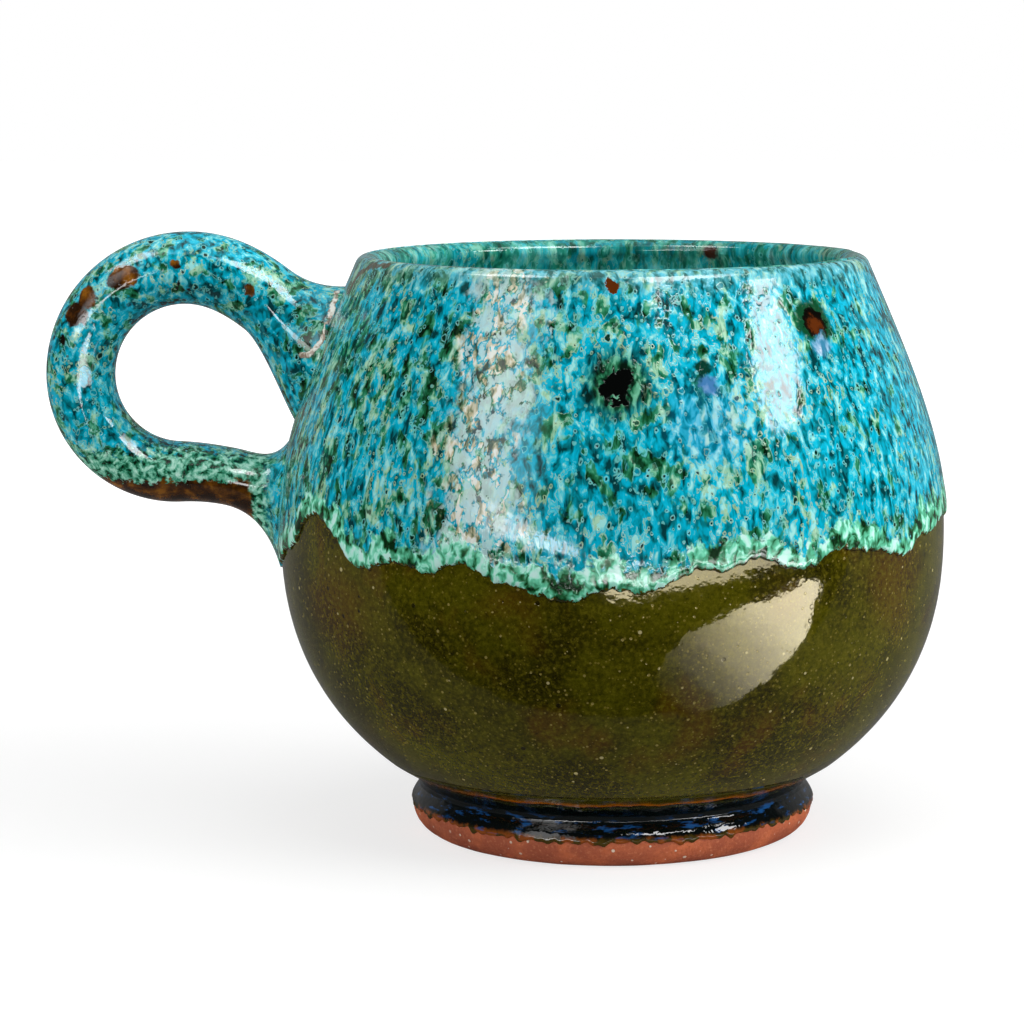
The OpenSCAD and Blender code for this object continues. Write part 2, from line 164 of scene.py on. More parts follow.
def turning_tree():
    """Turns an outline round the axis. The outline is given as its distance from the ring and its depth."""
    tree = bpy.data.node_groups.new("turned_on_the_wheel", "GeometryNodeTree")
    sockets = [
        ("Outline", "NodeSocketGeometry"), ("Columns", "NodeSocketInt"), ("Ring Radius", "NodeSocketFloat"),
        ("Unevenness", "NodeSocketFloat"), ("Patch Size", "NodeSocketFloat"), ("Ridge Height", "NodeSocketFloat"),
        ("Ridge Pitch", "NodeSocketFloat"), ("Seed", "NodeSocketFloat"), ("Finish", "NodeSocketMaterial")]
    for name, kind in sockets:
        tree.interface.new_socket(name, in_out="INPUT", socket_type=kind)
    tree.interface.new_socket("Piece", in_out="OUTPUT", socket_type="NodeSocketGeometry")
    given = tree.nodes.new("NodeGroupInput").outputs
    circle = put(tree, "GeometryNodeCurvePrimitiveCircle", {
        "Resolution": given["Columns"], "Radius": given["Ring Radius"]})
    outline = put(tree, "GeometryNodeMeshToCurve", {0: given["Outline"]})
    turned = put(tree, "GeometryNodeCurveToMesh", {0: circle.outputs[0], 1: outline.outputs[0]})
    whole = put(tree, "GeometryNodeMergeByDistance", {0: turned.outputs[0], "Distance": 0.001 * mm})
    place = put(tree, "GeometryNodeInputPosition").outputs[0]
    parts = put(tree, "ShaderNodeSeparateXYZ", {0: place}).outputs
    patch = put(tree, "ShaderNodeTexNoise", {
        "Vector": place, "W": given["Seed"], "Scale": calc(tree, "DIVIDE", 1.0, given["Patch Size"]),
        "Detail": 2.0}, noise_dimensions="4D").outputs[0]
    lean = calc(tree, "MULTIPLY", calc(tree, "SUBTRACT", patch, 0.5), given["Unevenness"])
    turn = calc(tree, "DIVIDE", calc(tree, "ARCTAN2", parts[1], parts[0]), math.tau)
    climb = calc(tree, "ADD", calc(tree, "DIVIDE", parts[2], given["Ridge Pitch"]), turn)
    wave = calc(tree, "SINE", calc(tree, "MULTIPLY", climb, math.tau))
    fade = put(tree, "ShaderNodeTexNoise", {
        "Vector": place, "W": given["Seed"], "Scale": 1 / (12 * mm)}, noise_dimensions="4D").outputs[0]
    ridge = calc(tree, "MULTIPLY", calc(tree, "MULTIPLY", wave, fade), given["Ridge Height"])
    push = put(tree, "ShaderNodeVectorMath", {
        0: put(tree, "GeometryNodeInputNormal").outputs[0], "Scale": calc(tree, "ADD", lean, ridge)},
        operation="SCALE").outputs[0]
    moved = put(tree, "GeometryNodeSetPosition", {0: whole.outputs[0], "Offset": push})
    smooth = put(tree, "GeometryNodeSetShadeSmooth", {0: moved.outputs[0]})
    real = put(tree, "GeometryNodeRealizeInstances", {0: smooth.outputs[0]})
    finished = put(tree, "GeometryNodeSetMaterial", {0: real.outputs[0], "Material": given["Finish"]})
    put(tree, "NodeGroupOutput", {0: finished.outputs[0]})
    return tree


def facing_out(mesh):
    """Turns a closed mesh's faces outwards, going by the sign of its volume."""
    mesh.calc_loop_triangles()
    spots = np.empty(len(mesh.vertices) * 3)
    mesh.vertices.foreach_get("co", spots)
    corners = np.empty(len(mesh.loop_triangles) * 3, int)
    mesh.loop_triangles.foreach_get("vertices", corners)
    a, b, c = spots.reshape(-1, 3)[corners.reshape(-1, 3)].transpose(1, 0, 2)
    if np.einsum("ij,ij", a, np.cross(b, c)) < 0:
        mesh.flip_normals()


def set_inputs(modifier, values):
    """Gives a tree's inputs their values, each by the identifier of its socket."""
    for socket in modifier.node_group.interface.items_tree:
        if socket.in_out == "INPUT" and socket.name in values:
            modifier[socket.identifier] = values[socket.name]


def made_by(piece, tree, values):
    """Runs a tree on a piece and keeps the result as its plain mesh."""
    modifier = piece.modifiers.new(tree.name, "NODES")
    modifier.node_group = tree
    set_inputs(modifier, values)
    view = bpy.context.evaluated_depsgraph_get()
    mesh = bpy.data.meshes.new_from_object(piece.evaluated_get(view), depsgraph=view)
    piece.modifiers.remove(modifier)
    piece.data = mesh
    facing_out(mesh)
    return piece


def turned(name, outline, closed, ring_r, **values):
    """A piece turned from an outline of points, each its radius and height in metres."""
    points = [(r - ring_r, -z, 0) for r, z in outline]
    edges = [(i, i + 1) for i in range(len(points) - 1)]
    if closed:
        edges.append((len(points) - 1, 0))
    mesh = bpy.data.meshes.new(name)
    mesh.from_pydata(points, edges, [])
    piece = bpy.data.objects.new(name, mesh)
    bpy.context.scene.collection.objects.link(piece)
    return made_by(piece, turning, {"Ring Radius": ring_r, **values})


def curve_line(points, count):
    """Points along a cubic curve between four given ones, without its last point."""
    a, b, c, d = (np.array(p) for p in points)
    shares = np.arange(count)[:, None] / count
    keep = 1 - shares
    return keep ** 3 * a + 3 * keep ** 2 * shares * b + 3 * keep * shares ** 2 * c + shares ** 3 * d


def ankle_r(z):
    return waist_r + (toe_r - waist_r) * (1 + np.cos(np.pi * (z - toe_z) / (foot_h - toe_z))) / 2


turning = turning_tree()
round_share = 0.55
toe_line = curve_line([
    (rest_r, 0), (rest_r + round_share * (toe_r - rest_r), 0), (toe_r, (1 - round_share) * toe_z), (toe_r, toe_z)], 14)
ankle_z = np.linspace(toe_z, foot_h, 20)
ankle_line = np.stack([ankle_r(ankle_z), ankle_z], 1)
rest_line = np.linspace((recess_r + foot_edge, 0), (rest_r, 0), 8, endpoint=False)
edge_line = curve_line([
    (recess_r, foot_edge), (recess_r, (1 - round_share) * foot_edge),
    (recess_r + (1 - round_share) * foot_edge, 0), (recess_r + foot_edge, 0)], 5)
recess_line = np.linspace((recess_top_r, foot_h), (recess_r, foot_edge), 14, endpoint=False)
top_line = np.linspace((waist_r, foot_h), (recess_top_r, foot_h), 6)[1:-1]
foot = turned(
    "turned_foot", np.concatenate([toe_line, ankle_line, top_line, recess_line, edge_line, rest_line]), True, 27 * mm,
    **{"Columns": 300, "Unevenness": 0.16 * mm, "Patch Size": 7 * mm, "Ridge Height": 0.05 * mm,
       "Ridge Pitch": 0.9 * mm, "Seed": 3.0, "Finish": clay})
foot_spots = np.empty(len(foot.data.vertices) * 3)
foot.data.vertices.foreach_get("co", foot_spots)
foot_spots[2::3] = np.maximum(foot_spots[2::3], 0)
foot.data.vertices.foreach_set("co", foot_spots)
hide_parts("foot_ring")
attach(foot, "root")

# The olive coat
# A thin, glossy, see-through iron glaze that covers the outside from the lip to the foot's waist.
# It lies on the thrown wall and shows its spiral ridges, amber patches and many small pale crystals.

base_coat_t = 0.4 * mm
top_coat_t = 0.5 * mm
liner_coat_t = 0.9 * mm
lip_t = 3.8 * mm
wall_t = 4.2 * mm
coat_t = base_coat_t + top_coat_t
mug_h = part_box("liner_glaze")[1].z
belly_z = 47.5 * mm
belly_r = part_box("base_glaze")[1].x + top_coat_t
mouth_r = 39.15 * mm
seat_r = 32.6 * mm
base_coat_z = 11.5 * mm
belly_power = 2.33
shoulder_share = 0.6
belly_close_h = (belly_z - foot_h) / (1 - (seat_r / belly_r) ** 2) ** (1 / belly_power)


def outside_r(z):
    """Radius of the finished outside at a height."""
    below = np.clip(belly_z - z, 0, None) / belly_close_h
    above = np.clip(z - belly_z, 0, None) / (mug_h - belly_z)
    fall = above * above * (1 + shoulder_share - shoulder_share * above)
    return belly_r * np.sqrt(1 - below ** belly_power) - (belly_r - mouth_r) * fall


def wall_line(z, depth):
    """Points of the wall as radius and height, at a depth under the finished outside at each height."""
    lean = (outside_r(z + 0.01 * mm) - outside_r(z - 0.01 * mm)) / (0.02 * mm)
    length = np.sqrt(1 + lean ** 2)
    return np.stack([outside_r(z) - depth / length, z + depth * lean / length], -1)


lip_round_r = lip_t / 2
crest_z = mug_h - lip_round_r
lip_lean = math.atan((outside_r(crest_z - mm) - outside_r(crest_z + mm)) / (2 * mm))
lip_z = mug_h - lip_round_r * (1 - math.sin(lip_lean))
lip_r = wall_line(np.array(lip_z), lip_round_r)[0]


def lip_line(start, end, depth, count):
    """Points round the lip between two angles, where the crest is at a quarter turn."""
    angles = np.linspace(start, end, count)
    reach = lip_round_r - depth
    return np.stack([lip_r + reach * np.cos(angles), crest_z + reach * np.sin(angles)], -1)


def stirred(tree, place, size, amount):
    """The place, pushed about by noise so that patterns swirl."""
    push = put(tree, "ShaderNodeTexNoise", {"Vector": place, "Scale": 1 / size, "Detail": 2.0}).outputs[1]
    centred = put(tree, "ShaderNodeVectorMath", {0: push, 1: (0.5, 0.5, 0.5)}, operation="SUBTRACT").outputs[0]
    feeds = {0: centred, 1: (amount, amount, amount), 2: place}
    return put(tree, "ShaderNodeVectorMath", feeds, operation="MULTIPLY_ADD").outputs[0]


def on_wall(mark):
    """The place in millimetres of a mark on the outside, from its angle and height."""
    angle, height = math.radians(mark[0]), mark[1]
    radius = float(outside_r(np.array(height * mm))) / mm
    return (radius * math.cos(angle), radius * math.sin(angle), height)


def spot(tree, torn, where, radius, soft=0.25):
    """The share of a mark of that radius at a place in millimetres. torn is the place, stirred, which frays its edge."""
    away = put(tree, "ShaderNodeVectorMath", {0: torn, 1: where}, operation="DISTANCE").outputs["Value"]
    return step(tree, away, radius * (1 + soft), radius * (1 - soft))


# Angle, height and radius of the patches where the glaze is thin and amber
amber_marks = [(-141, 40, 7), (-36, 44, 7), (-100, 26, 2.6), (-97, 23.5, 2.6), (-94, 21, 2.4), (-107, 43, 4), (-62, 42, 4)]


def olive_look(tree):
    """Colour and relief of the olive glaze, for any piece that shows it."""
    place = in_mm(tree)
    deep = step(tree, clouds(tree, place, 14, 4, 0.6), 0.38, 0.62)
    colour = coat_over(tree, deep, "#2c2900", "#4a4802")
    amber = step(tree, clouds(tree, in_mm(tree, 1.5, 31.0), 13, 4, 0.6), 0.54, 0.7, 0, 0.45)
    torn = stirred(tree, stirred(tree, place, 9.0, 12.0), 2.0, 3.0)
    for angle, height, radius in amber_marks:
        stain = calc(tree, "MULTIPLY", spot(tree, torn, on_wall((angle, height)), radius, 0.7), 0.45)
        amber = calc(tree, "MAXIMUM", amber, stain)
    colour = coat_over(tree, amber, colour, "#5c360a")
    mottle = clouds(tree, place, 0.7, 3, 0.7)
    colour = coat_over(tree, step(tree, mottle, 0.45, 0.7, 0, 0.7), colour, "#665e12")
    colour = coat_over(tree, step(tree, mottle, 0.47, 0.3, 0, 0.5), colour, "#151300")
    scribble = clouds(tree, stirred(tree, in_mm(tree, 1.0, 5.0), 2.0, 2.0), 1.6, 2)
    lines = step(tree, calc(tree, "ABSOLUTE", calc(tree, "SUBTRACT", scribble, 0.5)), 0.02, 0.004, 0, 0.35)
    colour = coat_over(tree, lines, colour, "#191700")
    fine = dots(tree, place, 0.7, 0.2, 0.8)
    middling = dots(tree, in_mm(tree, 1.0, 3.0), 1.3, 0.24, 0.7)
    large = dots(tree, in_mm(tree, 1.0, 7.0), 2.6, 0.32, 0.7)
    colour = coat_over(tree, calc(tree, "MULTIPLY", fine, 0.5), colour, "#8d7d38")
    colour = coat_over(tree, calc(tree, "MULTIPLY", middling, 0.6), colour, "#a3924e")
    colour = coat_over(tree, calc(tree, "MULTIPLY", large, 0.75), colour, "#c9bb84")
    dark = dots(tree, in_mm(tree, 1.0, 19.0), 2.6, 0.4, 0.4)
    colour = coat_over(tree, calc(tree, "MULTIPLY", dark, 0.8), colour, "#0d0a02")
    wave = clouds(tree, place, 1.3, 2)
    relief = calc(tree, "SUBTRACT", calc(tree, "MULTIPLY", wave, 0.5), calc(tree, "MULTIPLY", calc(tree, "MAXIMUM", dark, middling), 0.5))
    return colour, relief


def olive_glaze():
    made = bpy.data.materials.new("olive_iron_glaze")
    made.use_nodes = True
    tree = made.node_tree
    colour, relief = olive_look(tree)
    finish_of(tree, colour, 0.06, relief, 0.045, "#fff0c4")
    return made


olive = olive_glaze()
outer_z = np.concatenate([np.linspace(base_coat_z, 58 * mm, 90, endpoint=False), np.linspace(58 * mm, lip_z, 16)])
quarter = math.pi / 2
olive_line = np.concatenate([
    wall_line(outer_z, top_coat_t),
    lip_line(lip_lean, quarter, top_coat_t, 6)[1:],
    lip_line(quarter, lip_lean, coat_t, 6),
    wall_line(np.linspace(lip_z, base_coat_z, 24)[1:], coat_t)])
olive_coat = turned(
    "olive_coat", olive_line, True, 45 * mm,
    **{"Columns": 420, "Unevenness": 0.1 * mm, "Patch Size": 22 * mm, "Ridge Height": 0.008 * mm,
       "Ridge Pitch": 3.1 * mm, "Seed": 8.0, "Finish": olive})
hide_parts("base_glaze")
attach(olive_coat, "root")

# The glaze in the foot's waist
# The olive glaze ran down, pooled thick and nearly black in the waist, and stopped on the toe in a scalloped edge.
# It fillets up under the belly, where it thins out to an amber line.

foot_coat_t = 1.15 * mm
foot_coat_z = 4.8 * mm
pool_share = 0.62
pool_edge_share = 0.12
pool_rise_share = 0.8
pool_z = foot_coat_z + pool_share * (foot_h - foot_coat_z)
pool_r = waist_r + foot_coat_t


def ring_grid(name, rows, closed=True):
    """A piece from rings of points, given as an array of rings by points by place, joined ring to ring."""
    count, sides = rows.shape[:2]
    ring = np.arange(count if closed else count - 1)[:, None]
    side = np.arange(sides)[None, :]
    after = (ring + 1) % count
    beside = (side + 1) % sides
    faces = np.stack([
        ring * sides + side, ring * sides + beside, after * sides + beside, after * sides + side], -1)
    mesh = bpy.data.meshes.new(name)
    mesh.from_pydata(rows.reshape(-1, 3).tolist(), [], faces.reshape(-1, 4).tolist())
    mesh.shade_smooth()
    facing_out(mesh)
    piece = bpy.data.objects.new(name, mesh)
    bpy.context.scene.collection.objects.link(piece)
    return piece


def rags(angle, counts, seed):
    """An uneven line round the mug, from -1 to 1, as a sum of waves with those counts."""
    dice = np.random.default_rng(seed)
    waves = [np.sin(count * angle + dice.uniform(0, math.tau)) * dice.uniform(0.5, 1) for count in counts]
    return sum(waves) / math.sqrt(len(counts))


def bands(tree, value, *stops):
    """A colour that changes with value. Each stop is a value and the colour there."""
    ramp = put(tree, "ShaderNodeValToRGB", {0: value})
    marks = ramp.color_ramp.elements
    marks.remove(marks[1])
    marks[0].position = stops[0][0]
    marks[0].color = paint(stops[0][1])
    for level, colour in stops[1:]:
        marks.new(level).color = paint(colour)
    return ramp.outputs[0]


def both(tree, *shares):
    """The product of some shares."""
    whole = shares[0]
    for share in shares[1:]:
        whole = calc(tree, "MULTIPLY", whole, share)
    return whole


def black_glaze():
    made = bpy.data.materials.new("pooled_black_glaze")
    made.use_nodes = True
    tree = made.node_tree
    place = in_mm(tree)
    height = put(tree, "ShaderNodeSeparateXYZ", {0: place}).outputs[2]
    sway = calc(tree, "MULTIPLY_ADD", clouds(tree, in_mm(tree, 0.5, 2.0), 5, 3), 2.0, -1.0)
    drip = calc(tree, "MULTIPLY_ADD", clouds(tree, in_mm(tree, 3.0, 4.0), 1.4, 3), 1.4, -0.7)
    high = calc(tree, "ADD", height, sway)
    colour = bands(
        tree, calc(tree, "MULTIPLY", high, 0.05), (0.2, "#020606"), (0.46, "#030a0a"), (0.48, "#30300a"), (0.505, "#101204"),
        (0.522, "#a0580e"), (0.545, "#74480a"), (0.57, "#3f3a04"), (0.6, "#363500"))
    thin = step(tree, calc(tree, "ADD", height, drip), 5.3, 4.5)
    colour = coat_over(tree, thin, colour, "#3f3208")
    stain = step(tree, clouds(tree, in_mm(tree, 1.0, 5.0), 2.2, 3), 0.46, 0.56, 0, 0.85)
    colour = coat_over(tree, calc(tree, "MULTIPLY", thin, stain), colour, "#8a4416")
    blue = step(tree, clouds(tree, stirred(tree, in_mm(tree, 0.25, 21.0), 2.0, 1.6), 3.2, 3, 0.55), 0.54, 0.68, 0, 0.75)
    band_low = both(tree, step(tree, high, 4.4, 5.2), step(tree, high, 8.2, 6.6))
    colour = coat_over(tree, both(tree, blue, band_low), colour, "#1c5694")
    lumps = clouds(tree, stirred(tree, in_mm(tree, 1.0, 8.0), 2.0, 1.5), 3.2, 3, 0.55)
    finish_of(tree, colour, 0.04, lumps, 0.16)
    return made


round_angles = np.linspace(0, math.tau, 540, endpoint=False)
scallop = rags(round_angles, [7, 12, 19, 31, 47, 66, 89, 118], 4)
edge_z = foot_coat_z + (0.42 * scallop + 0.35 * np.sin(round_angles) - 0.4) * mm
low_edge_z = foot_coat_z - 1.4 * mm
inner_z = np.linspace(1, 0, 12)[:, None]
neck_u = np.linspace(0, 1, 22)[:, None] ** 1.6
neck_z = edge_z + (pool_z - edge_z) * neck_u
low_edge_r = ankle_r(low_edge_z) + pool_edge_share * foot_coat_t
fillet_r = pool_r + (low_edge_r - pool_r) * (1 + np.cos(np.pi * (neck_z - low_edge_z) / (pool_z - low_edge_z))) / 2
edge_bead = np.sqrt(1 - (1 - np.clip((neck_z - edge_z) / (0.7 * mm), 0, 1)) ** 2)
neck_r = ankle_r(neck_z) + np.maximum(fillet_r - ankle_r(neck_z), 0.38 * mm) * edge_bead
pool_top = wall_line(np.array(base_coat_z), top_coat_t)
rise_u = np.linspace(0, 1, 18)[1:, None]
rise_z = pool_z + (pool_top[1] - pool_z) * rise_u + 0 * edge_z
rise_r = pool_r + (pool_top[0] - pool_r) * rise_u ** 2 * (1 + pool_rise_share - pool_rise_share * rise_u) + 0 * edge_z
clay_z = base_coat_z + (foot_h - base_coat_z) * np.linspace(0, 1, 6)
clay_wall = wall_line(clay_z, coat_t)
back_z = foot_h + (edge_z - foot_h) * np.linspace(0, 1, 9)[:, None]
back_r = ankle_r(back_z) - 0.05 * mm
pool_radii = np.concatenate([neck_r, rise_r, clay_wall[:, :1] + 0 * edge_z, back_r])
pool_heights = np.concatenate([neck_z + 0 * edge_z, rise_z, clay_wall[:, 1:] + 0 * edge_z, back_z])
pool_rows = np.stack([
    pool_radii * np.cos(round_angles), pool_radii * np.sin(round_angles), pool_heights], -1)
foot_pool = ring_grid("foot_pool", pool_rows)
foot_pool.data.materials.append(black_glaze())
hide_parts("foot_glaze")
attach(foot_pool, "root")

# The coat inside
# A teal glaze poured in and out again, from the crest of the lip down the wall and over the floor.
# The potter's fingers left ribs under it, and it is streaked brown-green where it ran.

floor_round_h = 5 * mm
clay_floor_z = 12.2 * mm


def inside_depth(z):
    """Depth of the clay's inner face under the finished outside."""
    bare_lip_t = lip_t - liner_coat_t
    fall = np.clip((lip_z - z) / (lip_z - belly_z), None, 1)
    return bare_lip_t + (coat_t + wall_t - bare_lip_t) * (1 - (1 - fall) ** 2)


def inside_line(cover, count):
    """The inner face from the lip to the middle of the floor, under a cover of glaze."""
    z = np.linspace(lip_z, foot_h + floor_round_h, count)
    wall = wall_line(z, inside_depth(z) + cover)
    way = wall[-1] - wall[-2]
    way /= np.hypot(*way)
    arm = (wall[-1][1] - clay_floor_z - cover) / -way[1]
    end = wall[-1] + arm * way - np.array([arm, 0])
    low = curve_line([wall[-1], wall[-1] + round_share * arm * way, end + [round_share * arm, 0], end], 16)
    floor = np.linspace(end, (0, clay_floor_z + cover), 14)
    return np.concatenate([wall, low[1:], floor])


def burst_bubbles(tree, place, spacing, least, most, crowd):
    """Rings where bubbles burst: the share of pale rim, the share of the hole inside it, and a number for each bubble."""
    cells = put(tree, "ShaderNodeTexVoronoi", {"Vector": place, "Scale": 1 / spacing})
    lot = put(tree, "ShaderNodeSeparateColor", {0: cells.outputs["Color"]}).outputs
    size = calc(tree, "MULTIPLY_ADD", lot[1], (most - least) / spacing, least / spacing)
    away = calc(tree, "SUBTRACT", cells.outputs["Distance"], size)
    there = calc(tree, "LESS_THAN", lot[0], crowd)
    thick = 0.1 / spacing
    rim = both(tree, step(tree, calc(tree, "ABSOLUTE", calc(tree, "SUBTRACT", away, thick)), thick, 0.3 * thick), there)
    hole = both(tree, step(tree, away, 0.3 * thick, -0.5 * thick), there)
    return rim, hole, lot[2]


def running_look(tree, tall, green, cluster=0.3):
    """Colour and relief of the copper glaze, a froth of cells that ran while it boiled. tall is how much taller than
    wide the cells are, green how far the green froth stays back, from 0 to 1, and cluster how much it gathers."""
    weave = clouds(tree, stirred(tree, stirred(tree, in_mm(tree, tall * 1.2, 17.0), 3, 2.0), 1.1, 1.1), 1.2, 2.0, 0.5)
    drift = clouds(tree, in_mm(tree, tall, 53.0), 6, 2)
    tone = calc(tree, "ADD", weave, calc(tree, "MULTIPLY_ADD", drift, 0.3, -0.15))
    sea = bands(
        tree, tone, (0.33, "#003c40"), (0.37, "#00646e"), (0.44, "#008694"), (0.49, "#00a4be"), (0.55, "#00b8d8"), (0.6, "#12c2de"),
        (0.63, "#4ccede"), (0.71, "#a4ece8"))
    moss = bands(
        tree, tone, (0.33, "#02200c"), (0.37, "#0a4420"), (0.44, "#18623e"), (0.51, "#2a865e"), (0.58, "#4aa882"),
        (0.61, "#7cc4a0"), (0.69, "#b0e0c0"))

    # Green froth in sea blue glass, with a mint skin round it
    froth = clouds(tree, stirred(tree, stirred(tree, in_mm(tree, tall, 41.0), 4, 3.2), 1.3, 1.2), 2.4, 3, 0.55)
    gathering = calc(tree, "MULTIPLY_ADD", clouds(tree, in_mm(tree, tall, 23.0), 9, 2), cluster, -cluster / 2)
    gathering = calc(tree, "ADD", gathering, green)
    above = calc(tree, "SUBTRACT", froth, gathering)
    colour = coat_over(tree, step(tree, above, -0.04, 0.05), sea, moss)
    colour = coat_over(tree, step(tree, above, 0.1, 0.17, 0, 0.85), colour, "#032a12")
    gathered = step(tree, clouds(tree, in_mm(tree, tall, 71.0), 1.8, 3, 0.6), 0.44, 0.56)
    skin_colour = coat_over(tree, step(tree, drift, 0.45, 0.62), "#74d2ce", "#a6cc9c")
    skin = both(tree, step(tree, calc(tree, "ABSOLUTE", above), 0.028, 0.004), gathered)
    wall = calc(tree, "ABSOLUTE", calc(tree, "SUBTRACT", weave, 0.56))
    skin = calc(tree, "MAXIMUM", skin, both(tree, step(tree, wall, 0.022, 0.003), step(tree, drift, 0.44, 0.54)))
    colour = coat_over(tree, calc(tree, "MULTIPLY", skin, 0.75), colour, skin_colour)

    # Burst bubbles, each a pale ring round a dark heart, and pinholes down to the dark body
    rim, heart, kind = burst_bubbles(
        tree, stirred(tree, in_mm(tree, 1 + 0.5 * (tall - 1), 29.0), 1.4, 1.4), 2.0, 0.12, 0.42, 0.6)
    speck_rim, speck_heart = burst_bubbles(
        tree, stirred(tree, in_mm(tree, 1 + 0.3 * (tall - 1), 37.0), 1.0, 0.7), 1.05, 0.05, 0.17, 0.75)[:2]
    rim = calc(tree, "MAXIMUM", rim, speck_rim)
    colour = coat_over(tree, calc(tree, "MULTIPLY", rim, 0.7), colour, skin_colour)
    colour = coat_over(tree, heart, colour, coat_over(tree, calc(tree, "LESS_THAN", kind, 0.5), "#008ea4", "#013020"))
    colour = coat_over(tree, speck_heart, colour, "#012413")
    dips = calc(tree, "MAXIMUM", speck_heart, heart)
    relief = calc(tree, "ADD", calc(tree, "MULTIPLY", weave, 0.7), calc(tree, "MULTIPLY", calc(tree, "MAXIMUM", rim, skin), 0.2))
    relief = calc(tree, "SUBTRACT", relief, calc(tree, "MULTIPLY", dips, 1.2))
    return colour, relief, tone


def liner_glaze():
    made = bpy.data.materials.new("teal_liner_glaze")
    made.use_nodes = True
    tree = made.node_tree
    colour, relief, tone = running_look(tree, 3.0, 0.5, 0.2)
    soft = bands(
        tree, clouds(tree, stirred(tree, in_mm(tree, 3.0, 13.0), 3, 2), 2.4, 3, 0.6),
        (0.36, "#0a4e42"), (0.44, "#107a6e"), (0.52, "#2e9e90"), (0.6, "#54bcae"), (0.68, "#90dcd2"))
    colour = coat_over(tree, 0.6, colour, soft)
    streak = step(tree, clouds(tree, in_mm(tree, 7.0, 3.0), 1.6, 3), 0.56, 0.7, 0, 0.6)
    colour = coat_over(tree, streak, colour, "#0f3f33")
    rust = spot(tree, stirred(tree, in_mm(tree), 0.9, 1.0), rust_place, 1.25, 0.35)
    colour = coat_over(tree, rust, colour, "#3e190a")
    finish_of(tree, colour, 0.06, relief, 0.04)
    return made


# The rust mark on the far side, just under the lip
rust_place = (16.1, 32.1, 88.1)
inner_face = inside_line(liner_coat_t, 70)
clay_face = inside_line(0.0, 30)
liner_line = np.concatenate([
    inner_face[::-1],
    lip_line(math.pi + lip_lean, quarter, 0, 14)[1:],
    lip_line(quarter, math.pi + lip_lean, liner_coat_t, 8)[:-1],
    clay_face])
liner = turned(
    "liner_coat", liner_line, False, 30 * mm,
    **{"Columns": 360, "Unevenness": 0.15 * mm, "Patch Size": 12 * mm, "Ridge Height": 0.3 * mm,
       "Ridge Pitch": 5.2 * mm, "Seed": 21.0, "Finish": liner_glaze()})
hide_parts("liner_glaze")
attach(liner, "root")

# The turquoise coat
# A thick copper glaze over the upper half: it boiled and ran in the fire, so it is all cells, rings and streaks.
# It stopped half way down in a ragged hem, a proud bead with a pale mint fringe.

hem_z = 48 * mm
hem_drip_h = 3.5 * mm
bead_t = 0.25 * mm
hem_runs = [
    (-96, 22, 1), (-147, 11, -1.5), (-134, 9, 0.5), (-66, 13, -0.25), (-48, 10, -0.45), (-12, 22, -0.85),
    (24, 11, 0.35), (44, 12, -0.5), (64, 12, 0.8), (84, 9, -0.3), (104, 14, -0.65), (128, 11, 0.7),
    (150, 9, -0.4), (180, 26, 2), (-86, 6, 0.15)]
ripple_share = 0.13
black_spot = (-89.0, 74.3)
rust_eye = (-46.5, 82.0)
rim_rust = (-89.9, 87.9)
periwinkle = (-72.8, 74.1)
milky_angle = -112.5


def hem(angle):
    """Height of the hem at an angle in degrees, where -90 is the front and 180 the handle."""
    drop = ripple_share * (np.sin(np.radians(17 * angle)) + np.sin(np.radians(29 * angle)))
    for middle, half, share in hem_runs:
        away = np.abs((angle - middle + 900) % 360 - 180)
        drop = drop + share * np.where(away < half, (1 + np.cos(np.pi * away / half)) / 2, 0)
    return hem_z - hem_drip_h * drop


def seam(tree, place, spots, half):
    """The share of a line through spots in millimetres, half as wide as given."""
    whole = None
    for start, end in zip(spots, spots[1:]):
        way = tuple(e - s for s, e in zip(start, end))
        from_start = put(tree, "ShaderNodeVectorMath", {0: place, 1: start}, operation="SUBTRACT").outputs[0]
        dot = put(tree, "ShaderNodeVectorMath", {0: from_start, 1: way}, operation="DOT_PRODUCT").outputs["Value"]
        share = calc(tree, "MINIMUM", calc(tree, "MAXIMUM", calc(tree, "DIVIDE", dot, sum(w * w for w in way)), 0.0), 1.0)
        near = put(tree, "ShaderNodeVectorMath", {0: way, "Scale": share}, operation="SCALE").outputs[0]
        away = put(tree, "ShaderNodeVectorMath", {0: from_start, 1: near}, operation="DISTANCE").outputs["Value"]
        line = step(tree, away, half * 1.2, half * 0.8)
        whole = line if whole is None else calc(tree, "MAXIMUM", whole, line)
    return whole


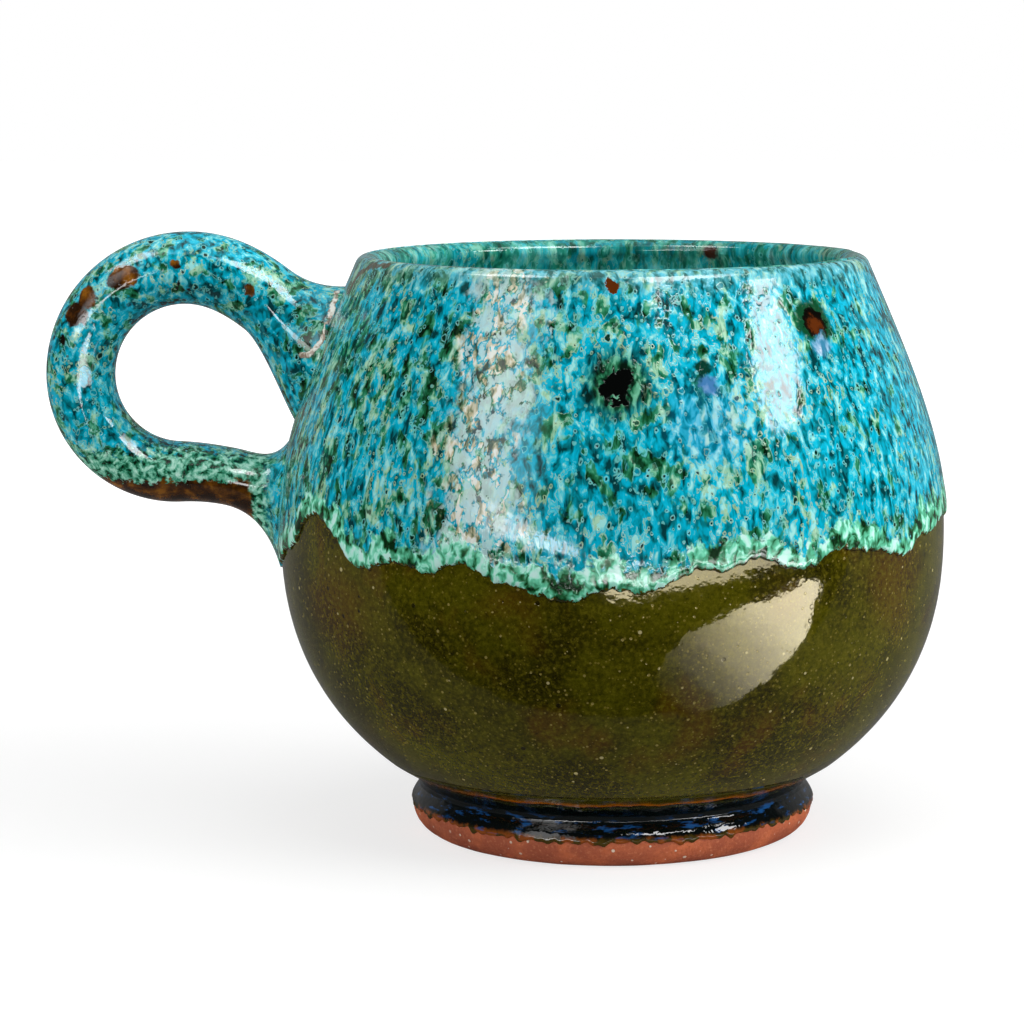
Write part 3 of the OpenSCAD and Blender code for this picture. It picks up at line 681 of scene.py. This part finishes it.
def turquoise_glaze():
    made = bpy.data.materials.new("turquoise_running_glaze")
    made.use_nodes = True
    tree = made.node_tree
    place = in_mm(tree)
    parts = put(tree, "ShaderNodeSeparateXYZ", {0: place}).outputs
    # The green froth stays back more towards +x, so the side away from the handle is bluer and brighter: partly the
    # glaze's own change, partly painted light from the right
    colour, relief, tone = running_look(tree, 1.8, calc(tree, "MULTIPLY_ADD", parts[0], 0.0011, 0.55))

    # A milky run down the front, with cream round its cells
    angle = calc(tree, "MULTIPLY", calc(tree, "ARCTAN2", parts[1], parts[0]), 180 / math.pi)
    off = calc(tree, "ABSOLUTE", calc(tree, "SUBTRACT", angle, milky_angle))
    sway = calc(tree, "MULTIPLY_ADD", clouds(tree, stirred(tree, in_mm(tree, 2.0, 4.0), 3, 2.5), 3, 4, 0.6), 26.0, -13.0)
    milky = step(tree, calc(tree, "ADD", off, sway), 9.0, 4.0)
    curd = clouds(tree, stirred(tree, in_mm(tree, 1.7, 8.0), 1.8, 1.8), 2.0, 3, 0.6)
    colour = coat_over(tree, both(tree, milky, step(tree, curd, 0.5, 0.45, 0, 0.72)), colour, "#d0f0ee")
    cream = both(tree, milky, step(tree, curd, 0.53, 0.56, 0, 0.85))
    colour = coat_over(tree, cream, colour, bands(
        tree, tone, (0.35, "#2a4a30"), (0.41, "#84885c"), (0.47, "#ccc29a"), (0.52, "#ecdfbe"), (0.59, "#fdfaf0")))

    # The thin, pale band under the lip
    high = calc(tree, "ADD", parts[2], calc(tree, "MULTIPLY_ADD", clouds(tree, in_mm(tree, 4.0, 2.0), 0.9, 4), 8.0, -4.0))
    colour = coat_over(tree, step(tree, high, 86.0, 90.0, 0, 0.4), colour, bands(
        tree, tone, (0.38, "#4a8f86"), (0.5, "#86bdb2"), (0.6, "#b9d9cd")))

    # Marks where the glaze boiled away from the body
    torn = stirred(tree, stirred(tree, place, 3.0, 2.2), 0.9, 0.9)
    run_down = stirred(tree, stirred(tree, place, 1.8, 2.6), 0.55, 1.5)
    halo = bands(tree, tone, (0.38, "#02150a"), (0.47, "#0c3a24"), (0.56, "#2a7a54"), (0.66, "#6ab894"))
    sky = coat_over(tree, 0.5, colour, bands(tree, tone, (0.4, "#047aa0"), (0.48, "#2ca0cc"), (0.56, "#60b8e0"), (0.64, "#b0dcf0")))
    haze = bands(tree, tone, (0.42, "#3c86a8"), (0.5, "#74a8cc"), (0.58, "#a0c2dc"), (0.64, "#cfe0ee"))
    for mark, radius, soft, frayed, over in (
            ((periwinkle[0] - 0.4, periwinkle[1] - 5.5), 5.4, 0.7, torn, sky), (black_spot, 5.0, 0.4, torn, halo),
            ((black_spot[0] + 0.3, black_spot[1] + 0.4), 1.95, 0.06, run_down, "#010302"),
            ((black_spot[0] - 1.9, black_spot[1] - 0.7), 1.1, 0.1, run_down, "#010302"),
            ((black_spot[0] + 1.5, black_spot[1] + 1.6), 1.1, 0.1, run_down, "#010302"),
            ((black_spot[0] - 0.5, black_spot[1] - 2.3), 0.75, 0.1, run_down, "#010302"),
            ((black_spot[0] + 1.1, black_spot[1] - 1.9), 0.8, 0.1, run_down, "#010302"),
            (rust_eye, 3.4, 0.2, torn, "#0b4a2a"), (rust_eye, 2.3, 0.12, run_down, "#070502"),
            ((rust_eye[0] + 0.2, rust_eye[1] - 0.5), 1.3, 0.5, run_down, "#5e2a08"),
            ((rust_eye[0] + 0.4, rust_eye[1] - 3.5), 1.7, 0.4, run_down, haze),
            (rim_rust, 1.0, 0.12, run_down, "#5e2a06"), (periwinkle, 1.3, 0.5, run_down, coat_over(tree, 0.6, haze, "#4878bc")),
            ((periwinkle[0] - 0.3, periwinkle[1] + 2.4), 1.2, 0.3, torn, "#043a2c")):
        share = spot(tree, frayed, on_wall(mark), radius, soft)
        colour = coat_over(tree, share, colour, over)
        if frayed == run_down:
            relief = calc(tree, "MULTIPLY", relief, calc(tree, "SUBTRACT", 1.0, share))

    # A brown break where the glaze drew back from the lip by the handle
    lip_break = seam(tree, torn, [on_wall(mark) for mark in ((-166, 84.6), (-163, 87.6), (-156, 89.2), (-148, 89.7))], 0.55)
    colour = coat_over(tree, calc(tree, "MULTIPLY", lip_break, 0.85), colour, "#5a4632")

    # The mint fringe along the hem
    above = calc(tree, "MULTIPLY", put(tree, "ShaderNodeAttribute", attribute_name="above_hem").outputs["Fac"], 1 / mm)
    strands = clouds(tree, stirred(tree, stirred(tree, in_mm(tree, 1.4, 5.0), 3.0, 3.2), 1.2, 1.2), 1.7, 2.2, 0.5)
    curl = clouds(tree, stirred(tree, in_mm(tree, 1.3, 9.0), 2.5, 2.0), 1.7, 3, 0.6)
    reach = calc(tree, "ADD", above, calc(tree, "MULTIPLY_ADD", curl, 9.0, -4.5))
    patch = calc(tree, "MULTIPLY_ADD", clouds(tree, in_mm(tree, 1.0, 11.0), 8, 1), 6.0, -3.0)
    fringe = step(tree, calc(tree, "ADD", reach, patch), 4.6, 3.4)
    mint = bands(tree, strands, (0.35, "#062c10"), (0.41, "#1f6236"), (0.46, "#48a078"), (0.5, "#5cc49a"), (0.54, "#74deb6"), (0.57, "#a2f6dc"), (0.66, "#d0fdf2"))
    colour = coat_over(tree, fringe, colour, mint)
    relief = calc(tree, "ADD", relief, both(tree, fringe, strands, 1.6))

    # Where the fringe has torn through, the olive glaze shows
    olive_colour, olive_relief = olive_look(tree)
    tooth = calc(tree, "MULTIPLY_ADD", clouds(tree, in_mm(tree, 2.0, 15.0), 0.55, 3, 0.6), 2.4, -1.2)
    bare = step(tree, calc(tree, "ADD", above, tooth), 0.36, 0.3)
    colour = coat_over(tree, bare, colour, olive_colour)
    rough = step(tree, fringe, 0.0, 1.0, 0.05, 0.14)
    finish_of(tree, colour, rough, relief, 0.045)
    return made


columns = 840
angles = np.linspace(-180, 180, columns, endpoint=False)
teeth = rags(np.radians(angles), [61, 83, 107, 131, 163, 197, 241], 11)
lobes = rags(np.radians(angles), [19, 27, 38, 45], 12)
edge = hem(angles) + (0.28 * teeth + 0.25 * lobes) * mm
hem_rows = np.array([0, 0.12, 0.3, 0.55, 0.85, 1.2, 1.6, 2.1, 2.7, 3.4, 4.2]) * mm
depths = np.array([0.52, 0.3, 0.12, -0.01, -0.07, -0.1, -0.1, -0.09, -0.06, -0.03, 0]) * mm
upper_share = np.linspace(0, 1, 72)[1:, None]
low_z = edge + hem_rows[:, None]
high_z = low_z[-1] + (lip_z - low_z[-1]) * upper_share
coat_z = np.concatenate([low_z, high_z])
coat_depth = np.concatenate([depths[:, None] * (1 + 0.35 * lobes), 0 * high_z])
outer = wall_line(coat_z, coat_depth)
crest = lip_line(lip_lean, quarter, 0, 9)[1:]
inner_t = top_coat_t - 0.02 * mm
under_lip = lip_line(quarter, lip_lean, inner_t, 5)
under_z = lip_z + (edge + 0.1 * mm - lip_z) * np.linspace(0, 1, 14)[1:, None]
under = wall_line(under_z, inner_t + 0.05 * mm)
spread = np.ones((1, columns, 1))
sections = np.concatenate([outer, crest[:, None] * spread, under_lip[:, None] * spread, under])
turn = np.radians(angles)
coat_rows = np.stack([sections[..., 0] * np.cos(turn), sections[..., 0] * np.sin(turn), sections[..., 1]], -1)
coat = ring_grid("turquoise_coat", coat_rows)
above_hem = sections[..., 1] - edge
coat.data.attributes.new("above_hem", "FLOAT", "POINT").data.foreach_set("value", above_hem.ravel())
coat.data.materials.append(turquoise_glaze())
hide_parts("top_glaze")
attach(coat, "root")

# The coat round the handle
# The same turquoise glaze over the pulled loop and both roots, rubbed off to bare glossy brown in a few places.
# Under the lower arm it ran away and left the clay with only the clear glaze on it.

handle_coat_t = 0.6 * mm
loop_reach = 30.5 * mm
loop_drop = 19 * mm
crown_r = 16.8 * mm
heel_r = 15 * mm
arm_sink = 2.5 * mm
loop_t = 9.4 * mm
upper_arm_t = 10.4 * mm
lower_arm_t = 7.8 * mm
loop_w = 11.2 * mm
upper_root_drop = 15.5 * mm
upper_root_h = 19.6 * mm
upper_root_w = 17 * mm
lower_root_up = 7 * mm
lower_root_down = 12 * mm
lower_root_w = 15 * mm
root_lead = 3.5 * mm
upper_root_lift = 2.4 * mm
lower_root_lift = 1.2 * mm
upper_arm_shares = (0.35, 0.6, 0.36)
lower_arm_share = 0.4
upper_cut_share = 0.42
lower_cut_share = 0.45
loop_x = belly_r + loop_reach
loop_z = mug_h - loop_drop
upper_z = mug_h - upper_root_drop
lower_z = loop_z - heel_r - arm_sink


def wall_r(z, depth):
    """Radius of the wall at a height, at a depth under the finished outside."""
    lean = (outside_r(z + 0.01 * mm) - outside_r(z - 0.01 * mm)) / (0.02 * mm)
    return outside_r(z) - depth * np.sqrt(1 + lean ** 2)


def cubic(points, shares):
    a, b, c, d = (np.array(p) for p in points)
    t = shares[:, None]
    return (1 - t) ** 3 * a + 3 * (1 - t) ** 2 * t * b + 3 * (1 - t) * t * t * c + t ** 3 * d


upper_foot = np.array([-float(wall_r(np.array(upper_z), coat_t)), upper_z])
crown_top = np.array([crown_r - loop_x, loop_z + crown_r])
heel_low = np.array([heel_r - loop_x, loop_z - heel_r])
lower_foot = np.array([-float(wall_r(np.array(lower_z), coat_t)), lower_z])
up_go = crown_top - upper_foot
low_go = lower_foot - heel_low
upper_guides = [
    upper_foot, upper_foot + [upper_arm_shares[0] * up_go[0], upper_arm_shares[1] * up_go[1]],
    crown_top - [upper_arm_shares[2] * up_go[0], 0], crown_top]
lower_guides = [
    heel_low, heel_low + [lower_arm_share * low_go[0], 0], lower_foot - lower_arm_share * low_go, lower_foot]
arc = np.linspace(0, quarter, 61)[:-1]
loop_line = np.concatenate([
    cubic(upper_guides, np.linspace(upper_cut_share, 1, 46))[:-1],
    np.stack([crown_top[0] - crown_r * np.sin(arc), loop_z + crown_r * np.cos(arc)], 1),
    np.stack([heel_low[0] - heel_r * np.cos(arc), loop_z - heel_r * np.sin(arc)], 1),
    cubic(lower_guides, np.linspace(0, lower_cut_share, 36))])
headings = np.gradient(loop_line, axis=0)
headings /= np.linalg.norm(headings, axis=1)[:, None]
steps_along = np.concatenate([[0], np.cumsum(np.linalg.norm(np.diff(loop_line, axis=0), axis=1))])
crown_last = 45 + 60
last = len(loop_line) - 1


def ease(u):
    return (1 - np.cos(np.pi * np.clip(u, 0, 1))) / 2


along = np.arange(last + 1)
thickness = (
    loop_t + (upper_arm_t - loop_t) * (1 - ease(along / crown_last))
    + (lower_arm_t - loop_t) * ease((along - crown_last) / (last - crown_last)))
sides = 72
side = np.linspace(0, math.tau, sides, endpoint=False)


def loop_rings(grow):
    """Rings round the loop's middle line, grown by a coat."""
    out = (thickness / 2 + grow)[:, None] * np.sin(side)
    x = loop_line[:, :1] + out * headings[:, 1:]
    z = loop_line[:, 1:] - out * headings[:, :1]
    y = (loop_w / 2 + grow) * np.cos(side) + 0 * out
    return np.stack([x, y, z], -1)


def wall_spots(y, z, depth):
    radius = wall_r(z, depth)
    return np.stack([-np.sqrt(radius ** 2 - y ** 2), y, z], -1)


def root_rings(ring, heading, prints, middle_z, hug, lift, count):
    """Rings from the loop's end to its footprint on the wall, along curves that leave on the loop's own line."""
    y, z = prints
    lead = np.array([root_lead * heading[0], 0, root_lead * heading[1]])
    guide = wall_spots((1 - hug) * y, z + hug * (middle_z - z), -lift)
    foot = wall_spots(y, z, 0)
    shares = np.linspace(0, 1, count)[1:, None, None]
    keep = 1 - shares
    return keep ** 3 * ring + 3 * keep ** 2 * shares * (ring + lead) + 3 * keep * shares ** 2 * guide + shares ** 3 * foot


def coat_rings(grow, count, skip):
    """All rings of the coat from the upper footprint round the loop to the lower one."""
    rings = loop_rings(grow)
    upper_reach = upper_root_h / 2 + grow
    upper_print = ((upper_root_w / 2 + grow) * np.cos(side), upper_z + upper_reach * np.sin(side))
    lower_reach = np.where(np.sin(side) > 0, lower_root_down, lower_root_up) + grow
    lower_print = ((lower_root_w / 2 + grow) * np.cos(side), lower_z - lower_reach * np.sin(side))
    high = (1 + np.sin(side)) / 2
    upper_hug = 0.35 * (1 - high)
    lower_hug = 0.5 + 0.05 * high
    upper = root_rings(rings[0], -headings[0], upper_print, upper_z, upper_hug, upper_root_lift + grow, count)
    lower = root_rings(rings[-1], headings[-1], lower_print, lower_z, lower_hug, lower_root_lift + grow, count)
    upper_seat = wall_spots(*upper_print, coat_t - 0.1 * mm)[None]
    lower_seat = wall_spots(*lower_print, coat_t - 0.1 * mm)[None]
    return np.concatenate([upper_seat, upper[::-1], rings[::skip], lower, lower_seat])


outer_rings = coat_rings(handle_coat_t, 24, 1)
inner_rings = coat_rings(0.1 * mm, 10, 4)
handle_coat = ring_grid("handle_coat", np.concatenate([outer_rings, inner_rings[::-1]]))
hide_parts("handle_glaze")
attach(handle_coat, "root")


def handle_glaze():
    made = bpy.data.materials.new("turquoise_handle_glaze")
    made.use_nodes = True
    tree = made.node_tree
    place = in_mm(tree)
    parts = put(tree, "ShaderNodeSeparateXYZ", {0: place}).outputs
    colour, relief, tone = running_look(tree, 1.15, 0.545)
    torn = stirred(tree, stirred(tree, place, 2.5, 1.6), 0.8, 0.8)

    # Where it ran off the underside of the lower arm, the brown clay shows through clear glaze, under a mint froth
    fray = calc(tree, "MULTIPLY_ADD", clouds(tree, stirred(tree, in_mm(tree, 1.0, 3.0), 1.5, 1.2), 1.1, 4, 0.6), 4.0, -2.0)
    drop = calc(tree, "ADD", calc(tree, "SUBTRACT", parts[2], bare_top), fray)
    left = step(tree, calc(tree, "ADD", parts[0], fray), bare_left - 0.6, bare_left)
    right = step(tree, calc(tree, "ADD", parts[0], calc(tree, "MULTIPLY", fray, 0.5)), bare_right, bare_right - 0.6)
    along_arm = both(tree, left, right)
    froth = clouds(tree, stirred(tree, stirred(tree, in_mm(tree, 1.0, 5.0), 2.5, 1.8), 0.8, 0.6), 1.1, 3, 0.55)
    mint = bands(tree, froth, (0.36, "#03200f"), (0.43, "#1b6a48"), (0.49, "#4fae8c"), (0.56, "#8fd8bc"), (0.66, "#c8f6e4"))
    sway = calc(tree, "MULTIPLY", fray, 1.4)
    mint_zone = both(tree, step(tree, calc(tree, "ADD", drop, sway), 5.2, 3.8), step(tree, parts[0], bare_right + 4, bare_right + 1))
    colour = coat_over(tree, mint_zone, colour, mint)
    bare = both(tree, step(tree, drop, 0.2, -0.2), along_arm)
    brown = bands(tree, clouds(tree, in_mm(tree, 1.0, 12.0), 2.6, 4, 0.6), (0.4, "#2c1604"), (0.5, "#4c2a08"), (0.58, "#70420c"), (0.66, "#945c14"))
    colour = coat_over(tree, bare, colour, brown)

    # Bare patches and spots on the crown, where it was held or boiled
    for x, z, radius, stretch in bare_spots:
        colour = coat_over(tree, spot(tree, torn, (x, handle_front, z), radius, 0.12), colour, brown)
    for x, z, radius in dark_spots:
        colour = coat_over(tree, spot(tree, torn, (x, handle_front, z), radius, 0.3), colour, "#140c04")

    # The cream crease where the upper root folds into the wall; its palest, near-white part is a painted highlight
    # along the ridge
    crease_and_highlight = seam(tree, stirred(tree, stirred(tree, place, 1.6, 1.0), 0.6, 0.5), crease_spots, 0.42)
    colour = coat_over(tree, crease_and_highlight, colour, bands(tree, froth, (0.42, "#a08a78"), (0.5, "#dcd4c4"), (0.6, "#f4f6ee")))
    relief = calc(tree, "MULTIPLY", relief, calc(tree, "SUBTRACT", 1.0, bare))
    finish_of(tree, colour, 0.05, calc(tree, "ADD", relief, calc(tree, "MULTIPLY", crease_and_highlight, 4.0)), 0.035)
    return made


bare_top = 55.3
bare_left = -79.5
bare_right = -55.6
handle_front = -5.6
# Points along the upper root's crease, which carries the cream line and its painted highlight
crease_spots = [(-42.4, -2.8, 84.4), (-42.9, -6.3, 81.9), (-44.5, -8.6, 77.0), (-46.2, -8.4, 75.3), (-47.6, -7.9, 75.0)]
bare_spots = [(-82.6, 81.2, 2.0, 1), (-80.6, 83.6, 1.7, 1), (-75.4, 86.4, 1.9, 1), (-73.6, 86.9, 1.5, 1), (-67.0, 88.6, 0.95, 1), (-55.6, 84.7, 1.2, 1)]
dark_spots = [
    (-65.2, 87.6, 0.5), (-62.9, 87.5, 0.5), (-66.4, 85.8, 0.45), (-64.9, 84.4, 0.6), (-74.1, 82.5, 0.6), (-76.8, 85.6, 0.5),
    (-84.7, 77.1, 0.7), (-83.9, 74.4, 0.45), (-78.4, 74.6, 0.8), (-78.2, 72.6, 0.7)]
handle_coat.data.materials.append(handle_glaze())

# The studio
# The mug stands on a white sheet in front of a white sweep, with a tall window light on either side.
# The sheet ends just in front of the mug, and the room beyond it is dark, which the lower belly mirrors.

eye_d = 497.9 * mm
eye_z = 121.3 * mm
pitch = math.radians(8.198)
axis_pixel = 612.35
photo_width = 1024
focal = 3213
sensor = 36

camera_data = bpy.data.cameras.new("camera")
camera_data.sensor_width = sensor
camera_data.lens = focal * sensor / photo_width
camera_data.shift_x = (photo_width / 2 - axis_pixel) / photo_width
camera_data.clip_start = 0.01
camera = bpy.data.objects.new("camera", camera_data)
camera.location = (0, -eye_d, eye_z)
camera.rotation_euler = (math.pi / 2 - pitch, 0, 0)
bpy.context.scene.collection.objects.link(camera)
bpy.context.scene.camera = camera

sheet_front = -62 * mm
white = paint("#ffffff")


def seen_directly(tree):
    """1 for rays from the eye, a mirror or a clear body, 0 for light that only falls on things."""
    rays = put(tree, "ShaderNodeLightPath").outputs
    mirrored = calc(tree, "MAXIMUM", rays["Is Glossy Ray"], rays["Is Transmission Ray"])
    return calc(tree, "MAXIMUM", rays["Is Camera Ray"], mirrored)


def flat_sheet(name, low, high, z):
    mesh = bpy.data.meshes.new(name)
    mesh.from_pydata([(low[0], low[1], z), (high[0], low[1], z), (high[0], high[1], z), (low[0], high[1], z)], [],
                     [(0, 1, 2, 3)])
    piece = bpy.data.objects.new(name, mesh)
    bpy.context.scene.collection.objects.link(piece)
    return piece


def floor_look():
    """White paper: lit by the lamps so that it keeps the mug's shadow, with light of its own to be white in the picture."""
    made = bpy.data.materials.new("white_paper")
    made.use_nodes = True
    tree = made.node_tree
    shader = tree.nodes["Principled BSDF"]
    seen = seen_directly(tree)
    rays = put(tree, "ShaderNodeLightPath").outputs
    shade = calc(tree, "SUBTRACT", step(tree, seen, 0, 1, 0.88, 0.36), calc(tree, "MULTIPLY", rays["Is Glossy Ray"], 0.23))
    tree.links.new(put(tree, "ShaderNodeCombineColor", {0: shade, 1: shade, 2: shade}).outputs[0], shader.inputs["Base Color"])
    shader.inputs["Roughness"].default_value = 1.0
    shader.inputs["Specular IOR Level"].default_value = 0.0
    spot_seen = put(tree, "ShaderNodeNewGeometry").outputs["Position"]
    place = put(tree, "ShaderNodeSeparateXYZ", {0: spot_seen}).outputs
    away = put(tree, "ShaderNodeVectorMath", {0: spot_seen}, operation="LENGTH").outputs["Value"]
    glow = calc(tree, "MULTIPLY", seen, step(tree, away, 0.1, 0.5, 0.7, 1.05))
    glow = calc(tree, "MULTIPLY", glow, step(tree, rays["Is Glossy Ray"], 0, 1, 1.0, 0.06))
    own_light = put(tree, "ShaderNodeEmission", {"Color": white, "Strength": glow})
    lit = put(tree, "ShaderNodeAddShader", {0: shader.outputs[0], 1: own_light.outputs[0]})
    beyond = calc(tree, "LESS_THAN", place[1], sheet_front)
    room = calc(tree, "MULTIPLY", calc(tree, "SUBTRACT", 1.0, rays["Is Camera Ray"]), beyond)
    dark = put(tree, "ShaderNodeEmission", {"Color": white, "Strength": 0.03})
    picked = put(tree, "ShaderNodeMixShader", {0: room, 1: lit.outputs[0], 2: dark.outputs[0]})
    tree.links.new(picked.outputs[0], tree.nodes["Material Output"].inputs[0])
    return made


floor = flat_sheet("floor", (-3, -3), (3, 3), 0)
floor.data.materials.append(floor_look())


def card(name, spots, strengths, faces=None):
    """A glowing card that only mirrors see, with a strength for each of its corners."""
    mesh = bpy.data.meshes.new(name)
    mesh.from_pydata(spots, [], faces or [tuple(range(len(spots)))])
    mesh.attributes.new("glow", "FLOAT", "POINT").data.foreach_set("value", strengths)
    piece = bpy.data.objects.new(name, mesh)
    bpy.context.scene.collection.objects.link(piece)
    made = bpy.data.materials.new(name)
    made.use_nodes = True
    tree = made.node_tree
    level = put(tree, "ShaderNodeAttribute", attribute_name="glow").outputs["Fac"]
    glow = put(tree, "ShaderNodeEmission", {"Color": white, "Strength": level})
    tree.links.new(glow.outputs[0], tree.nodes["Material Output"].inputs[0])
    mesh.materials.append(made)
    piece.visible_camera = False
    piece.visible_diffuse = False
    piece.visible_shadow = False
    return piece


def way_to(azimuth, height):
    """A direction as a unit vector, its azimuth counted from the camera's side to the right."""
    a, e = math.radians(azimuth), math.radians(height)
    return np.array([math.sin(a) * math.cos(e), -math.cos(a) * math.cos(e), math.sin(e)])


def ribbon(name, pairs):
    """A card from pairs of spots, each pair with its strength, joined side by side."""
    spots = [spot_there for pair in pairs for spot_there in pair[:2]]
    faces = [(2 * i, 2 * i + 1, 2 * i + 3, 2 * i + 2) for i in range(len(pairs) - 1)]
    card(name, spots, [pair[2] for pair in pairs for _ in (0, 1)], faces)


# Bright patches of the table, as azimuth, near and far end in millimetres and strength
table_front = [
    (-7, 320, 1300, 10), (-1, 250, 1300, 13), (6, 245, 1200, 13), (14, 275, 1000, 10), (33, 320, 1200, 9), (48, 400, 1300, 9),
    (62, 430, 1300, 3)]
ribbon("front_glare", [
    (near * mm * way_to(a, 0) + [0, 0, 0.5 * mm], far * mm * way_to(a, 0) + [0, 0, 0.5 * mm], level)
    for a, near, far, level in table_front])
table_glare = [
    (14, -80, 20, -58, 0), (27, -103, 31, -58, 0.8), (51, -129, 40, -58, 2.6), (86, -143, 56, -60, 6.5), (136, -152, 98, -64, 14),
    (207, -138, 166, -85, 16), (260, -130, 230, -95, 16)]
ribbon("table_glare", [
    ((x * mm, y * mm, 0.6 * mm), (mug_x * mm, mug_y * mm, 0.6 * mm), level) for x, y, mug_x, mug_y, level in table_glare])

# Windows and a long lamp overhead, as azimuth, lower and upper height in degrees and strength
card_distance = 3.0
windows = {
    "right_window": [(60.5, 26.5, 34, 12), (66, 25, 36, 14), (74, 25, 35, 14), (83, 29.5, 32.5, 12)],
    "left_window": [(-66, 30, 37, 0), (-57, 18, 38, 1), (-50, 18, 40, 2.4), (-38, 16, 42, 2.4), (-30, 14, 38, 1.2), (-22, 12, 34, 0)],
    "low_left_window": [(-50, 9, 17, 2), (-38, 6, 14, 9), (-22, 1.5, 7, 12), (-10, 0.2, 2.5, 10)],
    "overhead_strip": [
        (-88, 44, 62, 4), (-70, 46, 64, 10), (-48, 46, 62, 10), (-36, 50, 60, 2), (0, 52, 58, 1), (12, 46, 56, 5),
        (22, 42.5, 58, 14), (56, 42.5, 60, 14), (70, 48, 62, 6), (88, 48, 62, 4)]}
for name, sections_of in windows.items():
    ribbon(name, [(card_distance * way_to(a, low), card_distance * way_to(a, high), level) for a, low, high, level in sections_of])

lamps = [
    ("overhead_lamp", 60, 72, 1.3, 1.2, 7.6), ("right_lamp", 70, 22, 1.3, 0.8, 12.5), ("left_lamp", -50, 24, 1.3, 0.8, 6.2)]
for name, azimuth, height, away, size, power in lamps:
    lamp = bpy.data.lights.new(name, "AREA")
    lamp.size = size
    lamp.energy = power
    piece = bpy.data.objects.new(name, lamp)
    piece.location = away * way_to(azimuth, height)
    piece.rotation_euler = piece.location.to_track_quat("Z", "Y").to_euler()
    piece.visible_glossy = False
    bpy.context.scene.collection.objects.link(piece)

world = bpy.data.worlds.new("studio")
bpy.context.scene.world = world
world.use_nodes = True
tree = world.node_tree
place = put(tree, "ShaderNodeTexCoord").outputs["Generated"]
way = put(tree, "ShaderNodeSeparateXYZ", {0: place}).outputs
behind = step(tree, way[1], 0.25, 0.65, 0.0, 0.24)
overhead = step(tree, way[2], 0.75, 1.0, 0.04, 0.8)
mirrored = calc(tree, "MAXIMUM", behind, overhead)
rays = put(tree, "ShaderNodeLightPath").outputs
mirrored = calc(tree, "MAXIMUM", mirrored, rays["Is Camera Ray"])
fill = 0.35
seen = seen_directly(tree)
level = calc(tree, "ADD", calc(tree, "MULTIPLY", mirrored, seen), calc(tree, "MULTIPLY_ADD", seen, -fill, fill))
tree.links.new(level, tree.nodes["Background"].inputs["Strength"])
tree.nodes["Background"].inputs["Color"].default_value = white
bpy.context.scene.view_settings.view_transform = "Standard"
